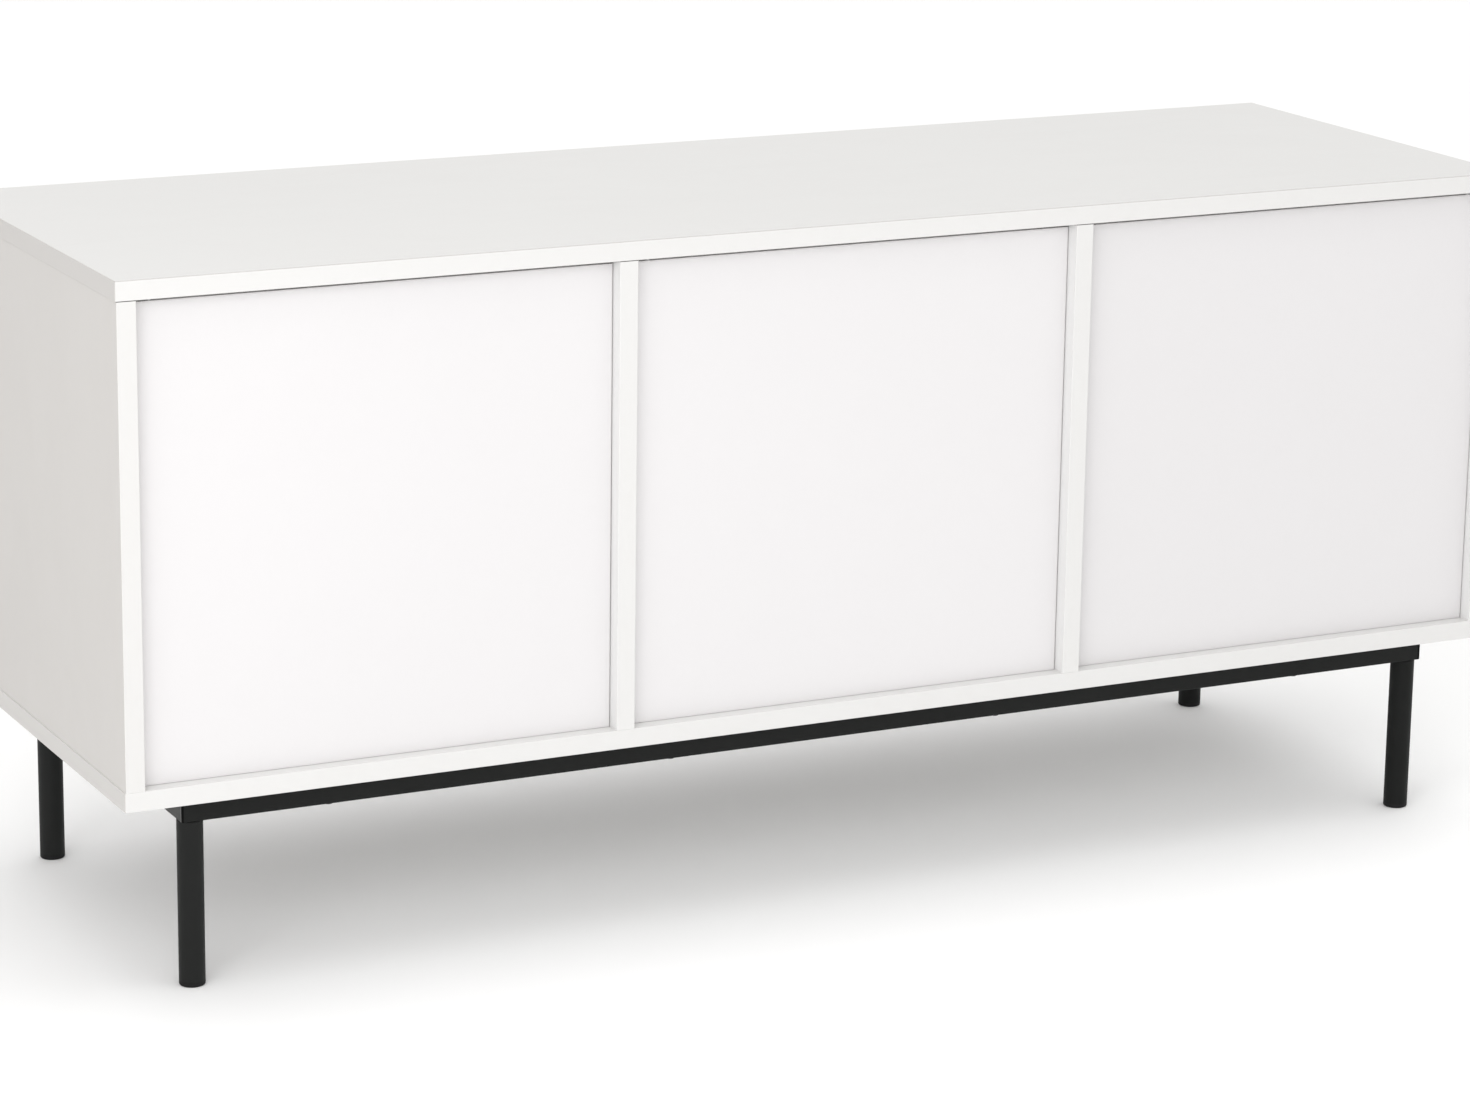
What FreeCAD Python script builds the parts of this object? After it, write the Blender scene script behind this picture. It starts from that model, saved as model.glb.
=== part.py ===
import FreeCAD, Part
import os, math
from FreeCAD import Vector as V

# TV stand with three inset doors on a low steel frame with four round legs.
# Frame of the model: +Z up, floor at Z 0, front facing -Y, centre of the footprint at X 0, Y 0. Millimetres.
os.makedirs("parts", exist_ok=True)

# ---- driving dimensions ----
W, D = 1200.0, 390.0          # top and bottom boards
T = 15.0                      # melamine board
H_IN = 365.0                  # clear height between the boards
Z_BOX = 150.0                 # underside of the bottom board
SIDE_IN = 0.8                 # side boards stand this far inside the ends of the top and bottom boards
EDGE_R = 0.5                  # softened edge of the edge banding
RECESS = 12.0                 # door face behind the front edges
GAP_X = 0.45                  # gap at each side of a door
GAP_BOT, GAP_TOP = 0.3, 3.5   # gaps below and above a door
DOOR_R = 1.0                  # rounding of the doors' upright front edges
PIVOT_P, PIVOT_Q = 14.0, 3.5  # pivot pin from the door's edge and behind the door's face
PIN_R, PIN_BORE_R = 2.0, 2.05
PIN_IN_DOOR, PIN_OUT = 18.0, 6.3
BUSH_R, BUSH_L, BUSH_FR, BUSH_FT = 3.25, 7.0, 4.5, 0.8   # flange lies flush in the board
BACK_T, GROOVE_W, GROOVE_D, GROOVE_INSET = 3.0, 3.2, 5.0, 8.0
CABLE_R, CABLE_Z = 30.0, 437.0
SHELF_D, SHELF_Y1, SHELF_CLEAR = 300.0, 180.0, 0.5
SHELF_Z = 341.5               # underside of the shelves
SHELF_PIN_R, SHELF_PIN_L = 2.5, 6.5
SHELF_ROWS = (-32.0, 0.0, 32.0)
SHELF_PIN_Y = (-90.0, 145.0)
DOWEL_R, DOWEL_TOP, DOWEL_L, DOWEL_Y = 4.0, 10.0, 30.0, (-110.0, 110.0)
CAM_R, CAM_T, CAM_FROM_EDGE, CAM_Y = 7.5, 12.0, 34.0, (-150.0, 150.0)
BOLT_R, BOLT_BORE_R, BOLT_THREAD_R, BOLT_IN_TOP = 3.5, 4.0, 2.5, 11.0
CONF_Y = (-138.0, 138.0)
RAIL, WALL = 20.0, 1.5        # square tube of the frame
FRAME_X, FRAME_Y = 50.0, 20.0 # frame's outer faces in from the box's ends and from its front and rear
LEG_R, LEG_WALL, FOOT_T = 10.0, 1.5, 4.0
STUD_R, STUD_BORE_R = 4.0, 4.25
RAIL_SCREW_X = (-430.0, -145.0, 145.0, 430.0)
LATCH_FROM_FREE = 42.0        # latch centre line from the free edge of the bay
LATCH_Z = 519.0               # plunger axis
PLUNGER_R, PLUNGER_BORE_R = 3.0, 3.08

# ---- derived ----
ZB0 = Z_BOX
ZB1 = ZB0 + T
ZT0 = ZB1 + H_IN
ZT1 = ZT0 + T
X_SIDE = W / 2 - SIDE_IN
X_IN = X_SIDE - T
BAY = (2 * X_IN - 2 * T) / 3.0
YF, YR = -D / 2, D / 2
DOOR_Y0 = YF + RECESS
DOOR_Y1 = DOOR_Y0 + T
BACK_Y0 = YR - GROOVE_INSET - BACK_T
GR_Y0 = BACK_Y0 - (GROOVE_W - BACK_T) / 2
bays = [(-X_IN + i * (BAY + T), -X_IN + i * (BAY + T) + BAY) for i in range(3)]
NAMES = ("left", "middle", "right")
HINGE = (1, 1, -1)            # +1 hinged on the bay's left side, -1 on its right side
uprights = {"left_side_panel": -X_SIDE, "divider_left": bays[0][1],
            "divider_right": bays[1][1], "right_side_panel": X_IN}
XU = [x + T / 2 for x in uprights.values()]


def box(x0, x1, y0, y1, z0, z1):
    return Part.makeBox(x1 - x0, y1 - y0, z1 - z0, V(x0, y0, z0))


def cyl(r, l, p, d=(0, 0, 1)):
    return Part.makeCylinder(r, l, V(*p), V(*d))


def cone(r1, r2, l, p, d=(0, 0, 1)):
    return Part.makeCone(r1, r2, l, V(*p), V(*d))


def save(name, *solids):
    s = solids[0] if len(solids) == 1 else Part.makeCompound(list(solids))
    s.exportStep("parts/%s.step" % name)


def cut(s, tools):
    return s.cut(tools) if tools else s


def soften(s, test, r):
    edges = [e for e in s.Edges if len(e.Vertexes) == 2 and test(e)]
    return s.makeFillet(r, edges) if edges else s


def mids(e):
    a, b = e.Vertexes[0].Point, e.Vertexes[1].Point
    return a, b


def both(e, axis, value):
    a, b = mids(e)
    return abs(getattr(a, axis) - value) < 1e-6 and abs(getattr(b, axis) - value) < 1e-6


# ---- positions shared by several pieces ----
pivots = []
for i, (x0, x1) in enumerate(bays):
    x = x0 + GAP_X + PIVOT_P if HINGE[i] > 0 else x1 - GAP_X - PIVOT_P
    pivots.append((x, DOOR_Y0 + PIVOT_Q))
latch_x = [x1 - LATCH_FROM_FREE if HINGE[i] > 0 else x0 + LATCH_FROM_FREE for i, (x0, x1) in enumerate(bays)]
LATCH_Y0, LATCH_Y1 = -163.0, -101.0
screw_xy = [(lx + s * 11.5, -132.0) for lx in latch_x for s in (-1, 1)]
leg_xy = [(sx * (W / 2 - FRAME_X - RAIL / 2), sy * (D / 2 - FRAME_Y - RAIL / 2)) for sx in (-1, 1) for sy in (-1, 1)]
rail_screws = [(x, sy * (D / 2 - FRAME_Y - RAIL / 2)) for x in RAIL_SCREW_X for sy in (-1, 1)] + \
              [(sx * (W / 2 - FRAME_X - RAIL / 2), 0.0) for sx in (-1, 1)]


# ---- top board ----
def outer_edges(e, zs):
    a, b = mids(e)
    if any(abs(a.z - z) < 1e-6 and abs(b.z - z) < 1e-6 for z in zs):
        return both(e, "y", YF) or both(e, "x", -W / 2) or both(e, "x", W / 2)
    return False


top = soften(box(-W / 2, W / 2, YF, YR, ZT0, ZT1), lambda e: outer_edges(e, (ZT0, ZT1)), EDGE_R)
tools = [box(-X_IN - GROOVE_D, X_IN + GROOVE_D, GR_Y0, GR_Y0 + GROOVE_W, ZT0 - 1, ZT0 + GROOVE_D)]
for x in XU:
    tools += [cyl(DOWEL_R, DOWEL_TOP + 1, (x, y, ZT0 - 1)) for y in DOWEL_Y]
    tools += [cyl(BOLT_THREAD_R, BOLT_IN_TOP + 1, (x, y, ZT0 - 1)) for y in CAM_Y]
tools += [cyl(BUSH_R, BUSH_L + 1, (x, y, ZT0 - 1)) for x, y in pivots]
tools += [cyl(BUSH_FR, BUSH_FT + 1, (x, y, ZT0 - 1)) for x, y in pivots]
tools += [cyl(1.5, 10, (x, y, ZT0 - 1)) for x, y in screw_xy]
save("top_panel", cut(top, tools))

# ---- bottom board ----
bot = soften(box(-W / 2, W / 2, YF, YR, ZB0, ZB1), lambda e: outer_edges(e, (ZB0, ZB1)), EDGE_R)
tools = [box(-X_IN - GROOVE_D, X_IN + GROOVE_D, GR_Y0, GR_Y0 + GROOVE_W, ZB1 - GROOVE_D, ZB1 + 1)]
for x in XU:
    tools += [cyl(DOWEL_R, DOWEL_TOP + 1, (x, y, ZB1 - DOWEL_TOP)) for y in DOWEL_Y]
    for y in CONF_Y:
        tools += [cyl(3.5, T + 2, (x, y, ZB0 - 1)), cyl(5.0, 3.0 + 1, (x, y, ZB0 - 1))]
tools += [cyl(BUSH_R, BUSH_L + 1, (x, y, ZB1 - BUSH_L)) for x, y in pivots]
tools += [cyl(BUSH_FR, BUSH_FT + 1, (x, y, ZB1 - BUSH_FT)) for x, y in pivots]
tools += [cyl(2.0, 12, (x, y, ZB0 - 1)) for x, y in rail_screws]
save("bottom_panel", cut(bot, tools))

# ---- uprights: two side boards and two dividers ----
for name, x0 in uprights.items():
    s = box(x0, x0 + T, YF, YR, ZB1, ZT0)
    s = soften(s, lambda e: both(e, "y", YF) and (both(e, "x", x0) or both(e, "x", x0 + T)), EDGE_R)
    xc = x0 + T / 2
    left_bay = name != "left_side_panel"      # a bay lies on this board's left
    right_bay = name != "right_side_panel"
    tools = []
    for y in DOWEL_Y:
        tools += [cyl(DOWEL_R, DOWEL_L - DOWEL_TOP + 1, (xc, y, ZB1 - 1)),
                  cyl(DOWEL_R, DOWEL_L - DOWEL_TOP + 1, (xc, y, ZT0 - (DOWEL_L - DOWEL_TOP)))]
    tools += [cyl(2.5, 36, (xc, y, ZB1 - 1)) for y in CONF_Y]
    cam_right = name in ("left_side_panel", "divider_right")   # face the cam housings open on
    for y in CAM_Y:
        zc = ZT0 - CAM_FROM_EDGE
        tools.append(cyl(BOLT_BORE_R, CAM_FROM_EDGE + 1, (xc, y, zc)))
        if cam_right:
            tools.append(cyl(CAM_R, CAM_T + 1, (x0 + T - CAM_T, y, zc), (1, 0, 0)))
        else:
            tools.append(cyl(CAM_R, CAM_T + 1, (x0 - 1, y, zc), (1, 0, 0)))
    for on, xs in ((right_bay, x0 + T - SHELF_PIN_L), (left_bay, x0 - 1)):
        if on:
            for y in SHELF_PIN_Y:
                for dz in SHELF_ROWS:
                    tools.append(cyl(SHELF_PIN_R, SHELF_PIN_L + 1, (xs, y, SHELF_Z - 3 + dz), (1, 0, 0)))
    if right_bay:
        tools.append(box(x0 + T - GROOVE_D, x0 + T + 1, GR_Y0, GR_Y0 + GROOVE_W, ZB1 - 1, ZT0 + 1))
    if left_bay:
        tools.append(box(x0 - 1, x0 + GROOVE_D, GR_Y0, GR_Y0 + GROOVE_W, ZB1 - 1, ZT0 + 1))
    save(name, cut(s, tools))

# ---- back panels in their grooves, each with a round cable hole ----
for n, (x0, x1) in zip(NAMES, bays):
    s = box(x0 - 4.6, x1 + 4.6, BACK_Y0, BACK_Y0 + BACK_T, ZB1 - GROOVE_D, ZT0 + 4.2)
    s = s.cut(cyl(CABLE_R, BACK_T + 2, ((x0 + x1) / 2, BACK_Y0 - 1, CABLE_Z), (0, 1, 0)))
    save("back_panel_" + n, s)

# ---- shelves on pins ----
pins = []
for n, (x0, x1) in zip(NAMES, bays):
    s = box(x0 + SHELF_CLEAR, x1 - SHELF_CLEAR, SHELF_Y1 - SHELF_D, SHELF_Y1, SHELF_Z, SHELF_Z + T)
    s = soften(s, lambda e: both(e, "y", SHELF_Y1 - SHELF_D) and abs(mids(e)[0].x - mids(e)[1].x) > 1, EDGE_R)
    save("shelf_" + n, s)
    for y in SHELF_PIN_Y:
        for xw, sgn in ((x0, 1), (x1, -1)):
            zc = SHELF_Z - 3
            stem = cyl(SHELF_PIN_R, SHELF_PIN_L, (xw, y, zc), (-sgn, 0, 0))
            blk = box(min(xw, xw + sgn * 8), max(xw, xw + sgn * 8), y - 3.5, y + 3.5, zc - 4.5, SHELF_Z)
            blk = blk.makeFillet(0.6, [e for e in blk.Edges if abs(e.Vertexes[0].X - (xw + sgn * 8)) < 1e-6
                                       and abs(e.Vertexes[1].X - (xw + sgn * 8)) < 1e-6 and e.Vertexes[0].Z < SHELF_Z - 0.1])
            pins.append(stem.fuse(blk).removeSplitter())
save("shelf_pins", *pins)

# ---- dowels, cams, cam bolts, confirmat screws ----
dow, cams, bolts, conf = [], [], [], []


def dowel(x, y, z0):
    c = cyl(DOWEL_R, DOWEL_L, (x, y, z0))
    return c.makeChamfer(0.8, [e for e in c.Edges if len(e.Vertexes) == 1 and abs(e.Curve.Radius - DOWEL_R) < 1e-6])


for (name, x0), xc in zip(uprights.items(), XU):
    for y in DOWEL_Y:
        dow += [dowel(xc, y, ZB1 - DOWEL_TOP), dowel(xc, y, ZT0 + DOWEL_TOP - DOWEL_L)]
    cam_right = name in ("left_side_panel", "divider_right")
    sgn = 1 if cam_right else -1
    xface = x0 + T if cam_right else x0
    for y in CAM_Y:
        zc = ZT0 - CAM_FROM_EDGE
        # cam housing: round body with the bolt's entry hole and a cross slot in its face
        c = cyl(CAM_R, CAM_T, (xface, y, zc), (-sgn, 0, 0))
        c = c.cut(cyl(3.6, CAM_R + 1, (xc, y, zc)))
        c = c.cut(cyl(5.0, 5.0, (xc - 2.5, y, zc), (1, 0, 0)))
        sx0, sx1 = sorted((xface + sgn * 0.5, xface - sgn * 2.2))
        c = c.cut([box(sx0, sx1, y - 4.5, y + 4.5, zc - 0.8, zc + 0.8),
                   box(sx0, sx1, y - 0.8, y + 0.8, zc - 4.5, zc + 4.5)])
        cams.append(c)
        # cam bolt: thread in the top board, shank, neck and ball head inside the cam
        b = cyl(BOLT_THREAD_R, BOLT_IN_TOP, (xc, y, ZT0)).fuse([
            cyl(BOLT_R, ZT0 - (zc + CAM_R + 0.2), (xc, y, zc + CAM_R + 0.2)),
            cyl(1.8, 10, (xc, y, zc + 0.5)), cyl(2.4, 3.5, (xc, y, zc - 1.5))])
        bolts.append(b.removeSplitter())
    for y in CONF_Y:
        s = cyl(5.0, 3.0, (xc, y, ZB0)).fuse([cyl(3.5, T - 3.0, (xc, y, ZB0 + 3.0)), cyl(2.5, 34.0, (xc, y, ZB1))])
        hexc = Part.Face(Part.makePolygon([V(xc + 2.3 * math.cos(a), y + 2.3 * math.sin(a), ZB0 - 1)
                                           for a in [math.pi / 3 * k for k in range(7)]])).extrude(V(0, 0, 3.2))
        conf.append(s.cut(hexc).removeSplitter())
save("dowels", *dow)
save("cam_housings", *cams)
save("cam_bolts", *bolts)
save("confirmat_screws", *conf)

# ---- doors, their pivot pins and strike plates ----
bush = []
for i, (n, (x0, x1)) in enumerate(zip(NAMES, bays)):
    px, py = pivots[i]
    z0, z1 = ZB1 + GAP_BOT, ZT0 - GAP_TOP
    s = box(x0 + GAP_X, x1 - GAP_X, DOOR_Y0, DOOR_Y1, z0, z1)
    s = soften(s, lambda e: both(e, "y", DOOR_Y0) and abs(mids(e)[0].z - mids(e)[1].z) > 1, DOOR_R)
    s = soften(s, lambda e: both(e, "y", DOOR_Y1) and abs(mids(e)[0].z - mids(e)[1].z) > 1, 0.4)
    s = s.cut([cyl(PIN_R, PIN_IN_DOOR + 1, (px, py, z0 - 1)), cyl(PIN_R, PIN_IN_DOOR + 1, (px, py, z1 - PIN_IN_DOOR)),
               cyl(2.5, 8.0 + 1, (latch_x[i], DOOR_Y1 - 8.0, LATCH_Z), (0, 1, 0))])
    save("door_" + n, s)
    lo = cyl(PIN_R, PIN_IN_DOOR + GAP_BOT + PIN_OUT - 0.3, (px, py, ZB1 - PIN_OUT + 0.3))
    hi = cyl(PIN_R, PIN_IN_DOOR + GAP_TOP + PIN_OUT - 0.3, (px, py, z1 - PIN_IN_DOOR))
    save("pivot_pins_" + n, lo, hi)
    st = cyl(7.0, 0.8, (latch_x[i], DOOR_Y1, LATCH_Z), (0, 1, 0)).fuse(
        cyl(2.5, 7.5, (latch_x[i], DOOR_Y1 - 7.5, LATCH_Z), (0, 1, 0)))
    save("strike_plate_" + n, st.removeSplitter())
    for zf, up in ((ZB1, -1), (ZT0, 1)):
        b = cyl(BUSH_R, BUSH_L, (px, py, zf), (0, 0, up)).fuse(cyl(BUSH_FR, BUSH_FT, (px, py, zf), (0, 0, up)))
        b = b.cut(cyl(PIN_BORE_R, PIN_OUT + 1, (px, py, zf - up), (0, 0, up)))
        bush.append(b.removeSplitter())
save("pivot_bushings", *bush)

# ---- push latches: body, sprung plunger with a magnet in its tip, spring, screws ----
springs, lscrews = [], []
BORE_FRONT, BORE_REAR = LATCH_Y0 + 4.0, LATCH_Y1 - 8.0
TIP = DOOR_Y1 + 0.8 + 0.3
for i, n in enumerate(NAMES):
    x = latch_x[i]
    body = box(x - 7.5, x + 7.5, LATCH_Y0, LATCH_Y1, LATCH_Z - 7.5, ZT0 - 2.5)
    body = body.makeFillet(2.0, [e for e in body.Edges if both(e, "z", LATCH_Z - 7.5) or
                                 (both(e, "y", LATCH_Y1) and abs(mids(e)[0].z - mids(e)[1].z) > 1)])
    flange = box(x - 16, x + 16, LATCH_Y0 + 16, LATCH_Y1 - 16, ZT0 - 2.5, ZT0)
    flange = flange.makeFillet(4.0, [e for e in flange.Edges if abs(mids(e)[0].z - mids(e)[1].z) > 1])
    cap = box(x - 7.5, x + 7.5, LATCH_Y0, LATCH_Y1, ZT0 - 2.5, ZT0)
    body = body.fuse([flange, cap]).removeSplitter()
    body = body.cut([cyl(PLUNGER_BORE_R, 10, (x, LATCH_Y0 - 1, LATCH_Z), (0, 1, 0)),
                     cyl(4.08, BORE_REAR - BORE_FRONT, (x, BORE_FRONT, LATCH_Z), (0, 1, 0))])
    for sgn in (-1, 1):
        sx = x + sgn * 11.5
        body = body.cut([cyl(1.7, 6, (sx, -132.0, ZT0 - 4)), cone(3.0, 1.7, 1.4, (sx, -132.0, ZT0 - 2.5))])
        sc = cone(2.9, 1.5, 1.4, (sx, -132.0, ZT0 - 2.5)).fuse(
            [cyl(1.5, 1.1 + 6.5, (sx, -132.0, ZT0 - 1.1)), cone(1.5, 0.3, 2.2, (sx, -132.0, ZT0 + 6.5))])
        sc = sc.cut([box(sx - 1.6, sx + 1.6, -132.35, -131.65, ZT0 - 3, ZT0 - 1.7),
                     box(sx - 0.35, sx + 0.35, -133.6, -130.4, ZT0 - 3, ZT0 - 1.7)])
        lscrews.append(sc.removeSplitter())
    save("latch_body_" + n, body)
    p = cyl(PLUNGER_R, 33.0, (x, TIP + 0.3, LATCH_Z), (0, 1, 0)).fuse(
        cyl(4.0, 3.0, (x, TIP + 30.3, LATCH_Z), (0, 1, 0)))
    p = p.cut([cyl(2.5, 2.0, (x, TIP, LATCH_Z), (0, 1, 0)), cyl(2.3, 24.0, (x, TIP + 9.6, LATCH_Z), (0, 1, 0))])
    save("plunger_" + n, p.removeSplitter())
    save("plunger_magnet_" + n, cyl(2.5, 2.0, (x, TIP, LATCH_Z), (0, 1, 0)))
    y_end, y_tip = BORE_REAR, TIP + 9.6 + 3.4
    L = y_end - y_tip - 0.6
    helix = Part.makeHelix(4.0, L, 1.75)
    ring = Part.Wire([Part.makeCircle(0.25, V(1.75, 0, 0), V(0, 1, 0))])
    coil = Part.Wire(helix.Edges).makePipeShell([ring], True, True)
    coil.rotate(V(0, 0, 0), V(1, 0, 0), -90)
    coil.translate(V(x, y_tip + 0.3, LATCH_Z))
    springs.append(coil)
save("latch_springs", *springs)
save("latch_screws", *lscrews)

# ---- steel frame of square tube, mitred at the corners ----
FX, FY = W / 2 - FRAME_X, D / 2 - FRAME_Y
ZR0, ZR1 = ZB0 - RAIL, ZB0


def prism(pts, z0, z1):
    return Part.Face(Part.makePolygon([V(x, y, z0) for x, y in pts + pts[:1]])).extrude(V(0, 0, z1 - z0))


def tube(pts_out, inner):
    return prism(pts_out, ZR0, ZR1).cut(inner)


stud_bores = [cyl(STUD_BORE_R, WALL + 2, (x, y, ZR0 - 1)) for x, y in leg_xy]
hole_tools = stud_bores + [cyl(2.25, RAIL + 2, (x, y, ZR0 - 1)) for x, y in rail_screws]
for name, sy in (("front_rail", -1), ("rear_rail", 1)):
    pts = [(-FX, sy * FY), (FX, sy * FY), (FX - RAIL, sy * (FY - RAIL)), (-FX + RAIL, sy * (FY - RAIL))]
    ya, yb = sorted((sy * (FY - WALL), sy * (FY - RAIL + WALL)))
    inner = box(-FX + WALL, FX - WALL, ya, yb, ZR0 + WALL, ZR1 - WALL)
    s = tube(pts, inner)
    s = soften(s, lambda e: abs(mids(e)[0].x - mids(e)[1].x) > 900 and
               (both(e, "y", sy * FY) or both(e, "y", sy * (FY - RAIL))), 1.2)
    save(name, s.cut(hole_tools))
for name, sx in (("side_rail_left", -1), ("side_rail_right", 1)):
    pts = [(sx * FX, -FY), (sx * FX, FY), (sx * (FX - RAIL), FY - RAIL), (sx * (FX - RAIL), -FY + RAIL)]
    xa, xb = sorted((sx * (FX - WALL), sx * (FX - RAIL + WALL)))
    inner = box(xa, xb, -FY + WALL, FY - WALL, ZR0 + WALL, ZR1 - WALL)
    s = tube(pts, inner)
    s = soften(s, lambda e: abs(mids(e)[0].y - mids(e)[1].y) > 250 and
               (both(e, "x", sx * FX) or both(e, "x", sx * (FX - RAIL))), 1.2)
    save(name, s.cut(hole_tools))

# ---- legs: tube, threaded stud with its plug, nut inside the frame corner, plastic foot ----
studs, nuts = [], []
for x, y in leg_xy:
    n = ("front" if y < 0 else "rear") + "_" + ("left" if x < 0 else "right")
    save("leg_" + n, cyl(LEG_R, ZR0 - FOOT_T, (x, y, FOOT_T)).cut(cyl(LEG_R - LEG_WALL, ZR0, (x, y, 0))))
    studs.append(cyl(LEG_R - LEG_WALL, 8.0, (x, y, ZR0 - 8.0)).fuse(cyl(STUD_R, 12.0, (x, y, ZR0))).removeSplitter())
    nut = Part.Face(Part.makePolygon([V(x + 7.506 * math.cos(a), y + 7.506 * math.sin(a), ZR0 + WALL)
                                      for a in [math.pi / 3 * k for k in range(7)]])).extrude(V(0, 0, 6.5))
    nuts.append(nut.cut(cyl(STUD_R, 30, (x, y, ZR0 - 5))))
    foot = cyl(LEG_R, FOOT_T, (x, y, 0))
    foot = foot.makeFillet(1.5, [e for e in foot.Edges if len(e.Vertexes) == 1 and abs(e.Vertexes[0].Z) < 1e-6])
    foot = foot.fuse(cyl(LEG_R - LEG_WALL, 14.0, (x, y, FOOT_T)))
    foot = foot.cut(cyl(6.0, 15.0, (x, y, FOOT_T)))
    save("foot_" + n, foot.removeSplitter())
save("leg_studs", *studs)
save("leg_nuts", *nuts)

# ---- screws that hold the frame to the bottom board ----
fs = []
for x, y in rail_screws:
    head = cyl(4.0, 2.6, (x, y, ZR0 - 2.6))
    head = head.makeFillet(1.4, [e for e in head.Edges if len(e.Vertexes) == 1 and e.Vertexes[0].Z < ZR0 - 2])
    s = head.fuse([cyl(2.0, RAIL + 9.0, (x, y, ZR0)), cone(2.0, 0.4, 1.9, (x, y, ZR0 + RAIL + 9.0))])
    s = s.cut([box(x - 2.2, x + 2.2, y - 0.45, y + 0.45, ZR0 - 3, ZR0 - 1.2),
               box(x - 0.45, x + 0.45, y - 2.2, y + 2.2, ZR0 - 3, ZR0 - 1.2)])
    fs.append(s.removeSplitter())
save("frame_screws", *fs)
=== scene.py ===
import math

import bmesh
import bpy
from mathutils import Matrix, Vector


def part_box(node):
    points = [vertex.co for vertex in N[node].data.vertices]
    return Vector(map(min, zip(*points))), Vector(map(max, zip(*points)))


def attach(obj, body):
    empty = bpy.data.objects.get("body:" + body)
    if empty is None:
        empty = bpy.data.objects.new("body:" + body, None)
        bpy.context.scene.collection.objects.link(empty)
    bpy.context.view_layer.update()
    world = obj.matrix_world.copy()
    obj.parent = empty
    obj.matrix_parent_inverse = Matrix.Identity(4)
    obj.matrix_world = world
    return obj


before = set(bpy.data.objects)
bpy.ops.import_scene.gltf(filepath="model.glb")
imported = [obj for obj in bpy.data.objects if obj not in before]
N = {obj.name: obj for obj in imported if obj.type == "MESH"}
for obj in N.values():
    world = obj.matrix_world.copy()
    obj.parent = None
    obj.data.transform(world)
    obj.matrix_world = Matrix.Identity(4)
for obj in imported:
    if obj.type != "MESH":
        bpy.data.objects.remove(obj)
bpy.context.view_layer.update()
SIDES = ("left", "middle", "right")
CORNERS = ("front_left", "front_right", "rear_left", "rear_right")


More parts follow.
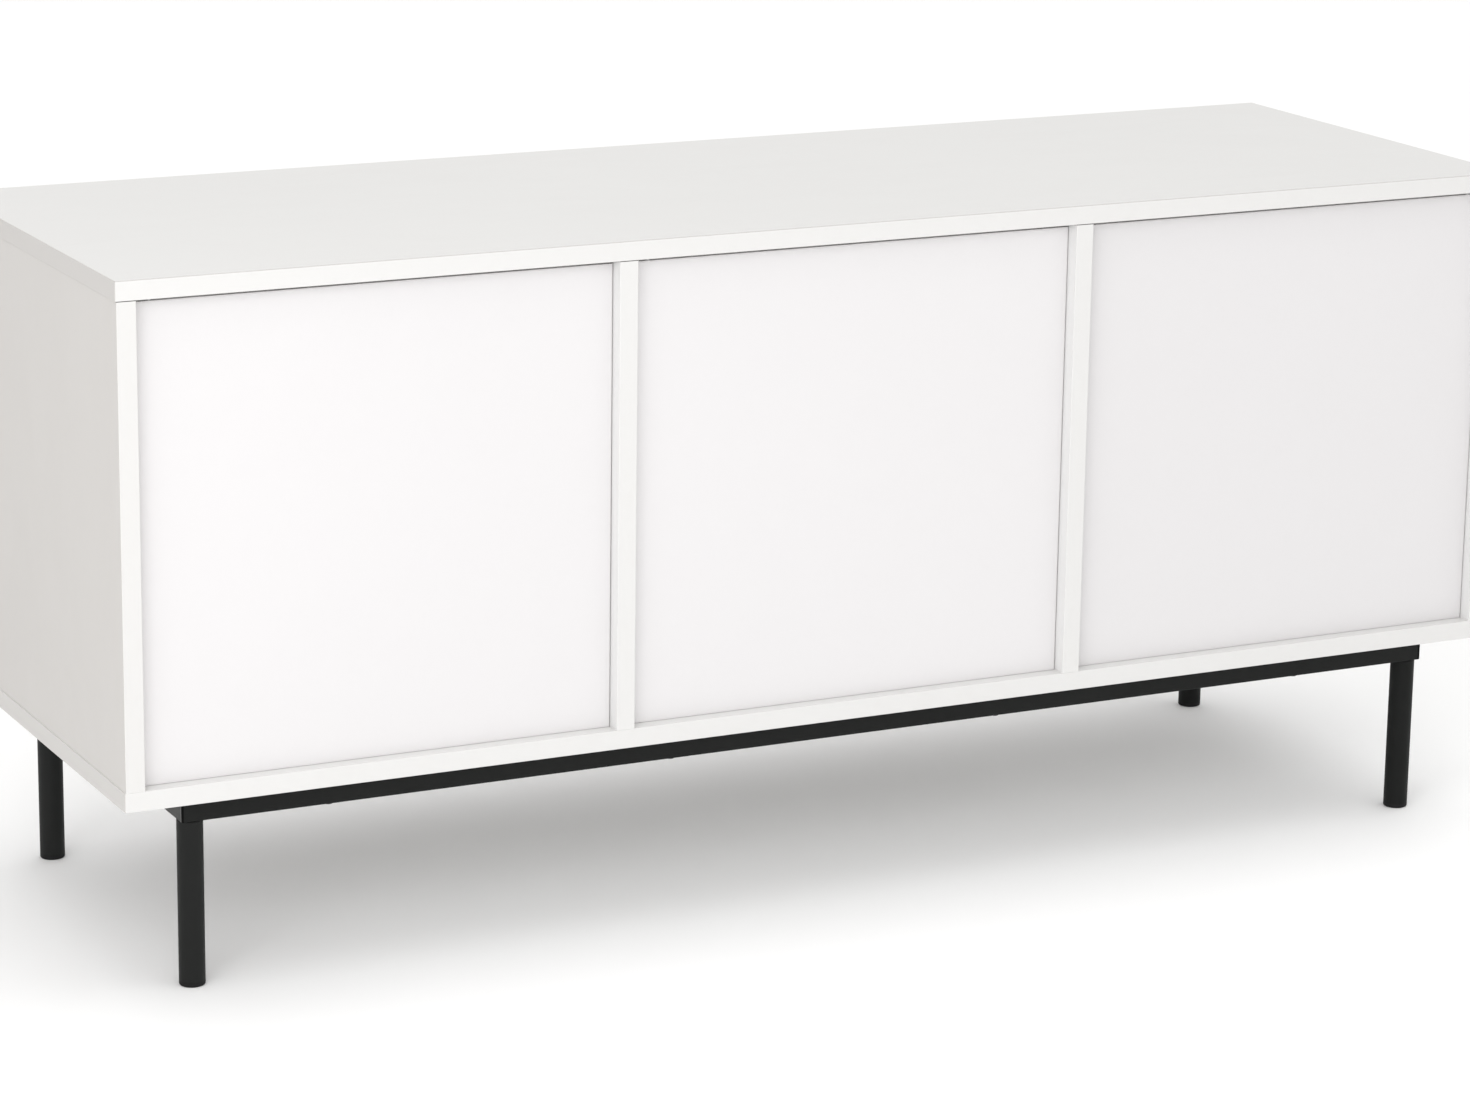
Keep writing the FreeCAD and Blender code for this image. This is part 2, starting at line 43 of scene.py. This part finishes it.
# ------------------------------------------------------------------ node graph helper
class Graph:
    def __init__(self, name):
        self.m = bpy.data.materials.new(name)
        self.m.use_nodes = True
        self.t = self.m.node_tree
        self.t.nodes.clear()
        self.out = self.t.nodes.new("ShaderNodeOutputMaterial")
        self.bsdf = self.t.nodes.new("ShaderNodeBsdfPrincipled")
        self.t.links.new(self.bsdf.outputs[0], self.out.inputs[0])
        self.pos = self.t.nodes.new("ShaderNodeTexCoord").outputs["Object"]
        s = self.t.nodes.new("ShaderNodeSeparateXYZ")
        self.t.links.new(self.pos, s.inputs[0])
        self.xyz = s.outputs

    def put(self, socket, value):
        if isinstance(value, bpy.types.NodeSocket):
            self.t.links.new(value, socket)
        elif value is not None:
            socket.default_value = value

    def math(self, op, a, b=None, c=None, clamp=False):
        n = self.t.nodes.new("ShaderNodeMath")
        n.operation, n.use_clamp = op, clamp
        for i, v in enumerate((a, b, c)):
            self.put(n.inputs[i], v)
        return n.outputs[0]

    def vec(self, sx=1.0, sy=1.0, sz=1.0, off=(0, 0, 0), rot=(0, 0, 0)):
        n = self.t.nodes.new("ShaderNodeMapping")
        self.put(n.inputs["Vector"], self.pos)
        n.inputs["Scale"].default_value = (sx, sy, sz)
        n.inputs["Location"].default_value = off
        n.inputs["Rotation"].default_value = rot
        return n.outputs[0]

    def noise(self, scale, detail=2.0, rough=0.5, vec=None, distort=0.0):
        n = self.t.nodes.new("ShaderNodeTexNoise")
        self.put(n.inputs["Vector"], vec if vec is not None else self.pos)
        n.inputs["Scale"].default_value = scale
        n.inputs["Detail"].default_value = detail
        n.inputs["Roughness"].default_value = rough
        n.inputs["Distortion"].default_value = distort
        return n.outputs[0]

    def voronoi(self, scale, vec=None, feature="F1", out="Distance", rnd=1.0):
        n = self.t.nodes.new("ShaderNodeTexVoronoi")
        n.feature = feature
        self.put(n.inputs["Vector"], vec if vec is not None else self.pos)
        n.inputs["Scale"].default_value = scale
        n.inputs["Randomness"].default_value = rnd
        return n.outputs[out]

    def ramp(self, v, stops, smooth=False):
        n = self.t.nodes.new("ShaderNodeValToRGB")
        self.put(n.inputs[0], v)
        r = n.color_ramp
        r.interpolation = "EASE" if smooth else "LINEAR"
        while len(r.elements) < len(stops):
            r.elements.new(0.5)
        for e, (p, c) in zip(r.elements, stops):
            e.position = p
            e.color = (c, c, c, 1) if isinstance(c, (int, float)) else (*c, 1)
        return n.outputs[0]

    def mix(self, f, a, b, mode="MIX"):
        n = self.t.nodes.new("ShaderNodeMix")
        n.data_type, n.blend_type = "RGBA", mode
        self.put(n.inputs[0], f)
        for i, v in ((6, a), (7, b)):
            if isinstance(v, (tuple, list)):
                v = (*v[:3], 1)
            self.put(n.inputs[i], v)
        return n.outputs[2]

    def lerp(self, f, a, b):
        n = self.t.nodes.new("ShaderNodeMix")
        n.data_type = "FLOAT"
        self.put(n.inputs[0], f)
        self.put(n.inputs[2], a)
        self.put(n.inputs[3], b)
        return n.outputs[0]

    def span(self, v, lo, hi, a=0.0, b=1.0):
        n = self.t.nodes.new("ShaderNodeMapRange")
        n.clamp = True
        self.put(n.inputs[0], v)
        for i, x in zip((1, 2, 3, 4), (lo, hi, a, b)):
            n.inputs[i].default_value = x
        return n.outputs[0]

    def bump(self, h, dist, strength=1.0, normal=None):
        n = self.t.nodes.new("ShaderNodeBump")
        n.inputs["Strength"].default_value = strength
        n.inputs["Distance"].default_value = dist
        self.put(n.inputs["Height"], h)
        if normal is not None:
            self.put(n.inputs["Normal"], normal)
        return n.outputs[0]

    def set(self, **kw):
        for k, v in kw.items():
            self.put(self.bsdf.inputs[k.replace("_", " ")], v)
        return self.m


def face_distances(g, lo, hi):
    """Distances from a point to the box's faces along x, y, z."""
    d = []
    for i in range(3):
        a = g.math("SUBTRACT", g.xyz[i], float(lo[i]))
        b = g.math("SUBTRACT", float(hi[i]), g.xyz[i])
        d.append(g.math("MINIMUM", a, b))
    return d


def give(node, material):
    o = N[node]
    o.data.materials.clear()
    o.data.materials.append(material)


# ------------------------------------------------------------------ white melamine board
def chipboard(g):
    """Raw particle board, seen inside bores and grooves."""
    big = g.voronoi(420, g.vec(1, 1, 2.2), out="Color")
    hue = g.ramp(big, [(0.0, (0.30, 0.19, 0.10)), (0.45, (0.47, 0.33, 0.19)), (1.0, (0.62, 0.47, 0.30))])
    fine = g.noise(2600, 3, 0.6)
    return g.mix(0.35, hue, g.ramp(fine, [(0.3, (0.22, 0.14, 0.07)), (0.75, (0.66, 0.52, 0.35))]))


def melamine(name, node, tint, thick_axis, seed, edge_tint=None, end_shade_tint=None, inner_lit_tint=None, shadow_line=None, arris_shade=False):
    g = Graph(name)
    lo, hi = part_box(node)
    d = face_distances(g, lo, hi)
    inside = g.math("MINIMUM", g.math("MINIMUM", d[0], d[1]), d[2])
    core = g.span(inside, 0.00033, 0.00040)
    others = [d[i] for i in range(3) if i != thick_axis]
    edge_d = g.math("MINIMUM", others[0], others[1])
    on_face = g.span(d[thick_axis], 0.00010, 0.00022, 1.0, 0.0)
    on_edge = g.math("SUBTRACT", 1.0, on_face, clamp=True)
    # glue line between the face and the edge banding, 0.8 mm in from the edge
    line = g.math("MULTIPLY", on_face, g.span(g.math("ABSOLUTE", g.math("SUBTRACT", edge_d, 0.0008)), 0.00004, 0.00010, 1.0, 0.0))
    off = (seed * 1.37, seed * 0.71, seed * 2.13)
    v = g.vec(off=off)
    cloud = g.noise(3.1, 3, 0.55, v)
    fleck = g.noise(190, 3, 0.6, v)
    fibre = g.noise(1500, 2, 0.5, v)
    smudge = g.ramp(g.noise(9.0, 4, 0.62, g.vec(off=(off[1], off[0], 0), sx=1.0, sy=1.6, sz=0.8), 0.6), [(0.42, 0.0), (0.72, 1.0)])
    base = g.mix(cloud, tuple(c * 0.985 for c in tint), tuple(min(c * 1.012, 0.96) for c in tint))
    base = g.mix(g.ramp(fleck, [(0.30, 0.045), (0.52, 0.0)]), base, tuple(c * 0.90 for c in tint))
    edge_colour = edge_tint or tuple(c * k for c, k in zip(tint, (0.995, 1.0, 0.985)))
    base = g.mix(g.math("MULTIPLY", on_edge, 0.85), base, edge_colour)
    if end_shade_tint:        # painted shade: the board's left end is darker, as the left-facing faces are in shade
        end = g.math("MULTIPLY", g.span(d[0], 0.00030, 0.00055, 1.0, 0.0), g.span(g.xyz[0], -0.1, 0.1, 1.0, 0.0))
        base = g.mix(end, base, end_shade_tint)
    if inner_lit_tint:      # painted light: the face turned to the compartment on its left is lighter, as that face is turned to the light
        inner_lit = g.math("MULTIPLY", on_face, g.span(g.xyz[0], float((lo[0] + hi[0]) / 2) - 0.0001, float((lo[0] + hi[0]) / 2) + 0.0001, 1.0, 0.0))
        base = g.mix(inner_lit, base, inner_lit_tint)
    if shadow_line:            # painted shadow: a dark line along the front edge at the top board's underside, where the top board lies on the uprights' front ends
        z, depth = shadow_line
        near = g.span(g.math("ABSOLUTE", g.math("SUBTRACT", g.xyz[2], z)), depth - 0.00005, depth + 0.00005, 1.0, 0.0)
        front = g.span(g.xyz[1], float(lo[1]) + 0.0005, float(lo[1]) + 0.0007, 1.0, 0.0)
        base = g.mix(g.math("MULTIPLY", near, front), base, (0.045, 0.042, 0.038))
    if arris_shade:         # painted shade: a darker line along the front banding's upper rounded edge
        radius = g.math("MULTIPLY", g.span(g.math("SUBTRACT", float(hi[2]), g.xyz[2]), 0.00045, 0.00055, 1.0, 0.0),
                        g.span(g.math("SUBTRACT", g.xyz[1], float(lo[1])), 0.00045, 0.00055, 1.0, 0.0))
        base = g.mix(g.math("MULTIPLY", radius, 0.55), base, (0.36, 0.345, 0.32))
    base = g.mix(g.math("MULTIPLY", line, 0.42), base, (0.46, 0.44, 0.41))
    # handled and rubbed spots: a little greyer close to the edges
    rub = g.math("MULTIPLY", g.span(edge_d, 0.0, 0.010, 1.0, 0.0), g.ramp(g.noise(60, 3, 0.6, v), [(0.50, 0.0), (0.80, 1.0)]))
    base = g.mix(g.math("MULTIPLY", rub, 0.08), base, (0.60, 0.58, 0.54))
    base = g.mix(core, base, chipboard(g))
    rough = g.lerp(smudge, 0.50, 0.60)
    rough = g.math("ADD", rough, g.span(fibre, 0.3, 0.7, -0.03, 0.03))
    rough = g.lerp(on_edge, rough, 0.44)
    rough = g.lerp(core, rough, 0.92)
    # surface relief: press-plate pearl, long low waves, the glue line and open chips in the core
    pearl = g.noise(1150, 3, 0.55, v)
    wave = g.noise(26, 2, 0.5, v)
    n1 = g.bump(wave, 0.00030, 0.22)
    n2 = g.bump(pearl, 0.000030, 0.55, n1)
    n3 = g.bump(g.math("MULTIPLY", line, -1.0), 0.00004, 0.6, n2)
    n4 = g.bump(g.math("MULTIPLY", core, g.noise(900, 4, 0.7)), 0.0005, 0.8, n3)
    return g.set(Base_Color=base, Roughness=rough, Normal=n4, Specular_IOR_Level=0.36)


BOARD = (0.700, 0.696, 0.686)
# painted shade: the left side panel is the same white melamine, darkened because its face is turned from the light
SIDE_SHADED = (0.600, 0.583, 0.564)
# painted shade: the boards' left ends, darkened the same way as the left side panel
END_SHADED = (0.600, 0.585, 0.568)
END_TOP_SHADED = (0.562, 0.546, 0.529)
EDGE = (0.684, 0.678, 0.669)
FRONT = (0.703, 0.690, 0.695)
# height of the top board's underside, where a painted shadow line is drawn on the top board and on the uprights
SHADOW_LINE_Z = float(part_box("top_panel")[0].z)
# painted light: the lighter colour of the uprights' left-facing faces
INNER_LIT = (0.745, 0.742, 0.738)
give("top_panel", melamine("melamine_top", "top_panel", BOARD, 2, 1, edge_tint=EDGE, end_shade_tint=END_TOP_SHADED, shadow_line=(SHADOW_LINE_Z, 0.00030), arris_shade=True))
give("bottom_panel", melamine("melamine_bottom", "bottom_panel", BOARD, 2, 2, edge_tint=EDGE, end_shade_tint=END_SHADED))
for i, n in enumerate(("left_side_panel", "right_side_panel", "divider_left", "divider_right")):
    give(n, melamine("melamine_" + n, n, SIDE_SHADED if i == 0 else BOARD, 0, 3 + i, edge_tint=EDGE, inner_lit_tint=INNER_LIT if i else None, shadow_line=(SHADOW_LINE_Z, 0.00028)))
for i, n in enumerate(SIDES):
    give("shelf_" + n, melamine("melamine_shelf_" + n, "shelf_" + n, BOARD, 2, 9 + i, edge_tint=EDGE))
    # the right-hand door is a little darker: partly its own tone, partly painted shade for the light falling off to
    # the right
    give("door_" + n, melamine("melamine_door_" + n, "door_" + n, tuple(c * (1.0, 1.0, 0.968)[i] for c in FRONT), 1, 13 + i))


# ------------------------------------------------------------------ painted hardboard backs
def hardboard(name, node, seed):
    g = Graph(name)
    lo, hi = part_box(node)
    dy = g.math("MINIMUM", g.math("SUBTRACT", g.xyz[1], float(lo[1])), g.math("SUBTRACT", float(hi[1]), g.xyz[1]))
    raw = g.span(dy, 0.00012, 0.00024)
    v = g.vec(off=(seed, seed * 2.0, 0))
    paint = g.mix(g.noise(5, 3, 0.6, v), (0.775, 0.770, 0.755), (0.815, 0.812, 0.800))
    streak = g.noise(1.0, 4, 0.65, g.vec(340, 340, 14, off=(seed, 0, 0)))
    paint = g.mix(g.ramp(streak, [(0.40, 0.0), (0.80, 0.10)]), paint, (0.66, 0.64, 0.60))
    brown = g.mix(g.noise(1400, 4, 0.7, v), (0.22, 0.125, 0.062), (0.36, 0.225, 0.125))
    base = g.mix(raw, paint, brown)
    rough = g.lerp(raw, g.lerp(g.noise(40, 3, 0.6, v), 0.48, 0.62), 0.90)
    n1 = g.bump(g.noise(700, 4, 0.65, v), 0.00008, 0.5)
    n2 = g.bump(g.noise(9, 2, 0.5, v), 0.0008, 0.25, n1)
    return g.set(Base_Color=base, Roughness=rough, Normal=n2, Specular_IOR_Level=0.35)


for i, n in enumerate(SIDES):
    give("back_panel_" + n, hardboard("hardboard_" + n, "back_panel_" + n, 3.0 + i))


# ------------------------------------------------------------------ black powder coat
def powder_coat(name, seed, tone=1.0, spec=0.145, mitre=None, top=None):
    g = Graph(name)
    v = g.vec(off=(seed, -seed, seed * 0.5))
    peel = g.noise(1900, 3, 0.6, v)
    orange = g.noise(420, 2, 0.5, v)
    dust = g.ramp(g.noise(3400, 2, 0.5, v), [(0.66, 0.0), (0.74, 1.0)])
    cloud = g.noise(14, 3, 0.6, v)
    base = g.mix(cloud, (0.0080 * tone, 0.0086 * tone, 0.0082 * tone), (0.0118 * tone, 0.0126 * tone, 0.0120 * tone))
    base = g.mix(g.math("MULTIPLY", dust, 0.10), base, (0.16, 0.16, 0.155))
    rough = g.lerp(g.noise(55, 4, 0.6, v), 0.46, 0.60)
    if mitre:           # the dark joint line along the mitre; with the third value set, a painted highlight beside it on the outer face instead, where the rounded corner catches the light
        half_x, half_y, painted_highlight = mitre
        in_x = g.math("SUBTRACT", half_x, g.math("ABSOLUTE", g.xyz[0]))
        in_y = g.math("SUBTRACT", half_y, g.math("ABSOLUTE", g.xyz[1]))
        joint = g.span(g.math("ABSOLUTE", g.math("SUBTRACT", in_x, in_y)), 0.0018, 0.0021, 1.0, 0.0)
        if painted_highlight:
            joint = g.math("MULTIPLY", joint, g.span(in_x, 0.0003, 0.0005, 1.0, 0.0))
            base = g.mix(joint, base, (0.058, 0.059, 0.058))
        else:
            base = g.mix(joint, base, (0.0016, 0.0017, 0.0016))
            rough = g.lerp(joint, rough, 0.85)
    if top:             # the line where the leg's end butts on the frame
        base = g.mix(g.span(g.math("SUBTRACT", top, g.xyz[2]), 0.0007, 0.0010, 1.0, 0.0), base, (0.0016, 0.0017, 0.0016))
    n1 = g.bump(orange, 0.00010, 0.35)
    n2 = g.bump(peel, 0.00004, 0.70, n1)
    return g.set(Base_Color=base, Roughness=rough, Normal=n2, Specular_IOR_Level=spec)


HALF_X = float(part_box("front_rail")[1].x)
HALF_Y = float(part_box("rear_rail")[1].y)
LEG_TOP = float(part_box("leg_front_left")[1].z)
rail_coat = powder_coat("powder_coat_frame", 2.0, mitre=(HALF_X, HALF_Y, False))
# painted highlight: the side rails get a lighter line by the mitre and a stronger sheen than the other rails, so they
# read brighter
side_coat = powder_coat("powder_coat_side_rails", 3.0, 1.0, 0.50, mitre=(HALF_X, HALF_Y, True))
# painted light and shade: lit and shaded copies of one coat, lighter and glossier on the left legs, darker and duller
# on the right legs
lit_leg_coat = powder_coat("powder_coat_legs_left_lit", 5.0, 1.08, 0.165, top=LEG_TOP)
shaded_leg_coat = powder_coat("powder_coat_legs_right_shaded", 6.0, 0.92, 0.120, top=LEG_TOP)
for n in ("front_rail", "rear_rail"):
    give(n, rail_coat)
for n in ("side_rail_left", "side_rail_right"):
    give(n, side_coat)
for c in CORNERS:
    give("leg_" + c, lit_leg_coat if c.endswith("left") else shaded_leg_coat)


# ------------------------------------------------------------------ plastics
def plastic(name, colour, seed, rough=(0.42, 0.55), grain=0.00002, dust_tone=0.10, spec=0.5):
    g = Graph(name)
    v = g.vec(off=(seed, seed, -seed))
    cloud = g.noise(70, 3, 0.6, v)
    base = g.mix(cloud, tuple(c * 0.93 for c in colour), tuple(min(c * 1.06, 0.95) for c in colour))
    speck = g.ramp(g.noise(2600, 2, 0.5, v), [(0.64, 0.0), (0.75, 1.0)])
    base = g.mix(g.math("MULTIPLY", speck, dust_tone), base, tuple(min(c + 0.18, 0.9) for c in colour))
    r = g.lerp(g.noise(220, 3, 0.6, v), *rough)
    n1 = g.bump(g.noise(2400, 2, 0.5, v), grain, 0.8)
    return g.set(Base_Color=base, Roughness=r, Normal=n1, Specular_IOR_Level=spec)


white_plastic = plastic("plastic_white", (0.76, 0.76, 0.74), 1.0, dust_tone=0.0)
grey_plastic = plastic("plastic_grey", (0.30, 0.31, 0.32), 2.0, dust_tone=0.04)
black_plastic = plastic("plastic_black", (0.0105, 0.0108, 0.0108), 3.0, rough=(0.52, 0.66), dust_tone=0.03, spec=0.16)
for n in SIDES:
    give("latch_body_" + n, white_plastic)
    give("plunger_" + n, grey_plastic)
give("pivot_bushings", white_plastic)
for c in CORNERS:
    give("foot_" + c, black_plastic)


# ------------------------------------------------------------------ metals and dowels
def metal(name, colour, seed, rough=(0.26, 0.42), tarnish=(0.40, 0.37, 0.30), lathe=0.0):
    g = Graph(name)
    v = g.vec(off=(seed, 0, seed))
    spot = g.ramp(g.noise(380, 4, 0.65, v), [(0.45, 0.0), (0.80, 1.0)])
    base = g.mix(g.math("MULTIPLY", spot, 0.45), colour, tarnish)
    r = g.lerp(g.noise(700, 3, 0.6, v), *rough)
    n1 = g.bump(g.noise(2200, 3, 0.6, v), 0.00002, 0.6)
    if lathe:
        n1 = g.bump(g.noise(1.0, 2, 0.5, g.vec(60, 60, lathe, off=(seed, 0, 0))), 0.00002, 0.5, n1)
    return g.set(Base_Color=base, Roughness=r, Metallic=1.0, Normal=n1)


zinc = metal("zinc_plate", (0.66, 0.67, 0.68), 1.0, lathe=4000)
cast = metal("zinc_casting", (0.50, 0.51, 0.52), 2.0, rough=(0.40, 0.58), tarnish=(0.33, 0.33, 0.33))
nickel = metal("nickel_plate", (0.70, 0.67, 0.61), 3.0, rough=(0.14, 0.26), tarnish=(0.52, 0.48, 0.42))
for n in ("shelf_pins", "cam_bolts", "confirmat_screws", "latch_springs", "latch_screws", "leg_studs", "leg_nuts"):
    give(n, zinc)
for n in SIDES:
    give("pivot_pins_" + n, zinc)
    give("strike_plate_" + n, zinc)
    give("plunger_magnet_" + n, nickel)
give("cam_housings", cast)
give("frame_screws", plastic("black_zinc", (0.022, 0.022, 0.022), 6.0, rough=(0.30, 0.44), dust_tone=0.05))

g = Graph("beech_dowel")
v = g.vec(900, 900, 45)
grain = g.noise(1.0, 4, 0.6, v, 0.4)
base = g.ramp(grain, [(0.30, (0.42, 0.26, 0.13)), (0.55, (0.60, 0.42, 0.25)), (0.85, (0.70, 0.53, 0.35))])
give("dowels", g.set(Base_Color=base, Roughness=g.lerp(grain, 0.55, 0.72), Normal=g.bump(grain, 0.00012, 0.6)))


# ------------------------------------------------------------------ weld beads in the frame's corners
def bead(name, p0, p1, radius, seed):
    """A low rippled bead from p0 to p1."""
    import random
    rnd = random.Random(seed)
    bm = bmesh.new()
    p0, p1 = Vector(p0), Vector(p1)
    axis = (p1 - p0)
    length = axis.length
    axis.normalize()
    side = axis.orthogonal().normalized()
    up = axis.cross(side)
    rings, seg = max(12, int(length / 0.0004)), 14
    prev = None
    for i in range(rings + 1):
        t = i / rings
        ripple = 1.0 + 0.16 * math.sin(t * length / 0.0011 * math.pi) + rnd.uniform(-0.05, 0.05)
        end = min(1.0, math.sin(math.pi * min(max(t, 0.02), 0.98)) * 3.0) ** 0.5
        c = p0 + axis * (length * t) + side * rnd.uniform(-1, 1) * 0.00008
        ring = [bm.verts.new(c + (side * math.cos(a) + up * math.sin(a)) * radius * ripple * end)
                for a in (2 * math.pi * k / seg for k in range(seg))]
        if prev:
            for k in range(seg):
                bm.faces.new((prev[k], prev[(k + 1) % seg], ring[(k + 1) % seg], ring[k]))
        else:
            bm.faces.new(list(reversed(ring)))
        prev = ring
    bm.faces.new(prev)
    bmesh.ops.recalc_face_normals(bm, faces=bm.faces)
    me = bpy.data.meshes.new(name)
    bm.to_mesh(me)
    bm.free()
    for p in me.polygons:
        p.use_smooth = True
    o = bpy.data.objects.new(name, me)
    bpy.context.scene.collection.objects.link(o)
    me.materials.append(rail_coat)
    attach(o, "cabinet")
    return o


flo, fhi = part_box("front_rail")
FX, FY0, FY1 = fhi.x, -flo.y, -fhi.y
Z0, Z1 = flo.z, fhi.z
for sx in (-1, 1):
    for sy in (-1, 1):
        tag = ("front" if sy < 0 else "rear") + "_" + ("left" if sx < 0 else "right")
        xi, yi = sx * (FX - 0.020), sy * FY1
        bead("weld_bead_" + tag, (xi - sx * 0.0003, yi - sy * 0.0003, Z0 + 0.0008), (xi - sx * 0.0003, yi - sy * 0.0003, Z1 - 0.0006), 0.0015, 11 + sx + 2 * sy)

# ------------------------------------------------------------------ floor, light, camera
g = Graph("studio_floor")
mott = g.noise(1.3, 4, 0.55)
base = g.mix(mott, (0.945, 0.945, 0.945), (0.96, 0.96, 0.96))
g.set(Base_Color=base, Roughness=g.lerp(g.noise(7, 3, 0.6), 0.75, 0.88), Normal=g.bump(g.noise(420, 3, 0.6), 0.0001, 0.2), Specular_IOR_Level=0.15)
bm = bmesh.new()
bmesh.ops.create_grid(bm, x_segments=2, y_segments=2, size=30.0)
me = bpy.data.meshes.new("floor")
bm.to_mesh(me)
bm.free()
floor = bpy.data.objects.new("floor", me)
bpy.context.scene.collection.objects.link(floor)
me.materials.append(g.m)

world = bpy.data.worlds.new("studio")
bpy.context.scene.world = world
world.use_nodes = True
wt = world.node_tree
bg = wt.nodes["Background"]
wc = wt.nodes.new("ShaderNodeTexCoord")


def world_dot(axis, lo, hi, a, b):
    """Map how far a direction points along an axis to a value."""
    d = wt.nodes.new("ShaderNodeVectorMath")
    d.operation = "DOT_PRODUCT"
    d.inputs[1].default_value = axis
    wt.links.new(wc.outputs["Generated"], d.inputs[0])
    r = wt.nodes.new("ShaderNodeMapRange")
    r.interpolation_type = "SMOOTHSTEP"
    wt.links.new(d.outputs["Value"], r.inputs[0])
    for k, x in zip((1, 2, 3, 4), (lo, hi, a, b)):
        r.inputs[k].default_value = x
    return r.outputs[0]


# the studio is unlit above eye level in its rear left corner, and a little brighter on the front left
wp = wt.nodes.new("ShaderNodeMath")
wp.operation = "MULTIPLY"
wt.links.new(world_dot((-0.75, 0.66, 0.0), 0.26, 0.90, 0.0, 1.0), wp.inputs[0])
wt.links.new(world_dot((0.0, 0.0, 1.0), 0.10, 0.26, 0.0, 1.0), wp.inputs[1])
wm = wt.nodes.new("ShaderNodeMix")
wm.data_type = "RGBA"
wt.links.new(wp.outputs[0], wm.inputs[0])
wm.inputs[6].default_value = (1.0, 0.998, 0.992, 1)
wm.inputs[7].default_value = (0.12, 0.10, 0.09, 1)
# the backdrop itself is seen as plain white all round
seen = wt.nodes.new("ShaderNodeLightPath").outputs["Is Camera Ray"]
wb = wt.nodes.new("ShaderNodeMix")
wb.data_type = "RGBA"
wt.links.new(seen, wb.inputs[0])
wt.links.new(wm.outputs[2], wb.inputs[6])
wb.inputs[7].default_value = (1, 1, 1, 1)
wt.links.new(wb.outputs[2], bg.inputs[0])
wk = wt.nodes.new("ShaderNodeMix")
wk.data_type = "FLOAT"
wt.links.new(seen, wk.inputs[0])
wt.links.new(world_dot((-0.88, -0.47, 0.0), -1.0, 1.0, 0.86, 1.12), wk.inputs[2])
wk.inputs[3].default_value = 1.05
wt.links.new(wk.outputs[0], bg.inputs[1])


def area(name, loc, target, size, power, colour=(1, 1, 1)):
    l = bpy.data.lights.new(name, "AREA")
    l.shape, l.size, l.size_y, l.energy, l.color = "RECTANGLE", size[0], size[1], power, colour
    o = bpy.data.objects.new(name, l)
    bpy.context.scene.collection.objects.link(o)
    o.location = loc
    o.rotation_mode = "QUATERNION"
    o.rotation_quaternion = (Vector(target) - Vector(loc)).to_track_quat("-Z", "Y")
    return o


key = area("key_softbox", (-1.68, -2.05, 1.40), (-0.25, -0.15, 0.36), (1.7, 1.2), 23)
key.visible_camera = False
key.visible_glossy = False
sun = bpy.data.lights.new("overhead", "SUN")
sun.energy, sun.angle = 0.72, math.radians(70)
sun_o = bpy.data.objects.new("overhead", sun)
bpy.context.scene.collection.objects.link(sun_o)
sun_o.rotation_euler = (math.radians(-8), math.radians(6), 0)

cam = bpy.data.cameras.new("camera")
cam_o = bpy.data.objects.new("camera", cam)
bpy.context.scene.collection.objects.link(cam_o)
right = Vector((0.8954849, -0.4448806, 0.0137144))
up = Vector((0.1000165, 0.2311531, 0.9677628))
fwd = Vector((0.4337091, 0.8652453, -0.2514895))
rot = Matrix((right, up, -fwd)).transposed()
cam_o.rotation_mode = "QUATERNION"
cam_o.rotation_quaternion = rot.to_quaternion()
cam_o.location = (-1.64172, -3.25909, 1.18719)
cam.sensor_fit, cam.sensor_width, cam.lens = "HORIZONTAL", 36.0, 4613.38 / 1470 * 36.0
cam.clip_start, cam.clip_end = 0.1, 100
bpy.context.scene.camera = cam_o

bpy.context.scene.view_settings.view_transform = "Standard"
bpy.context.scene.view_settings.look = "None"
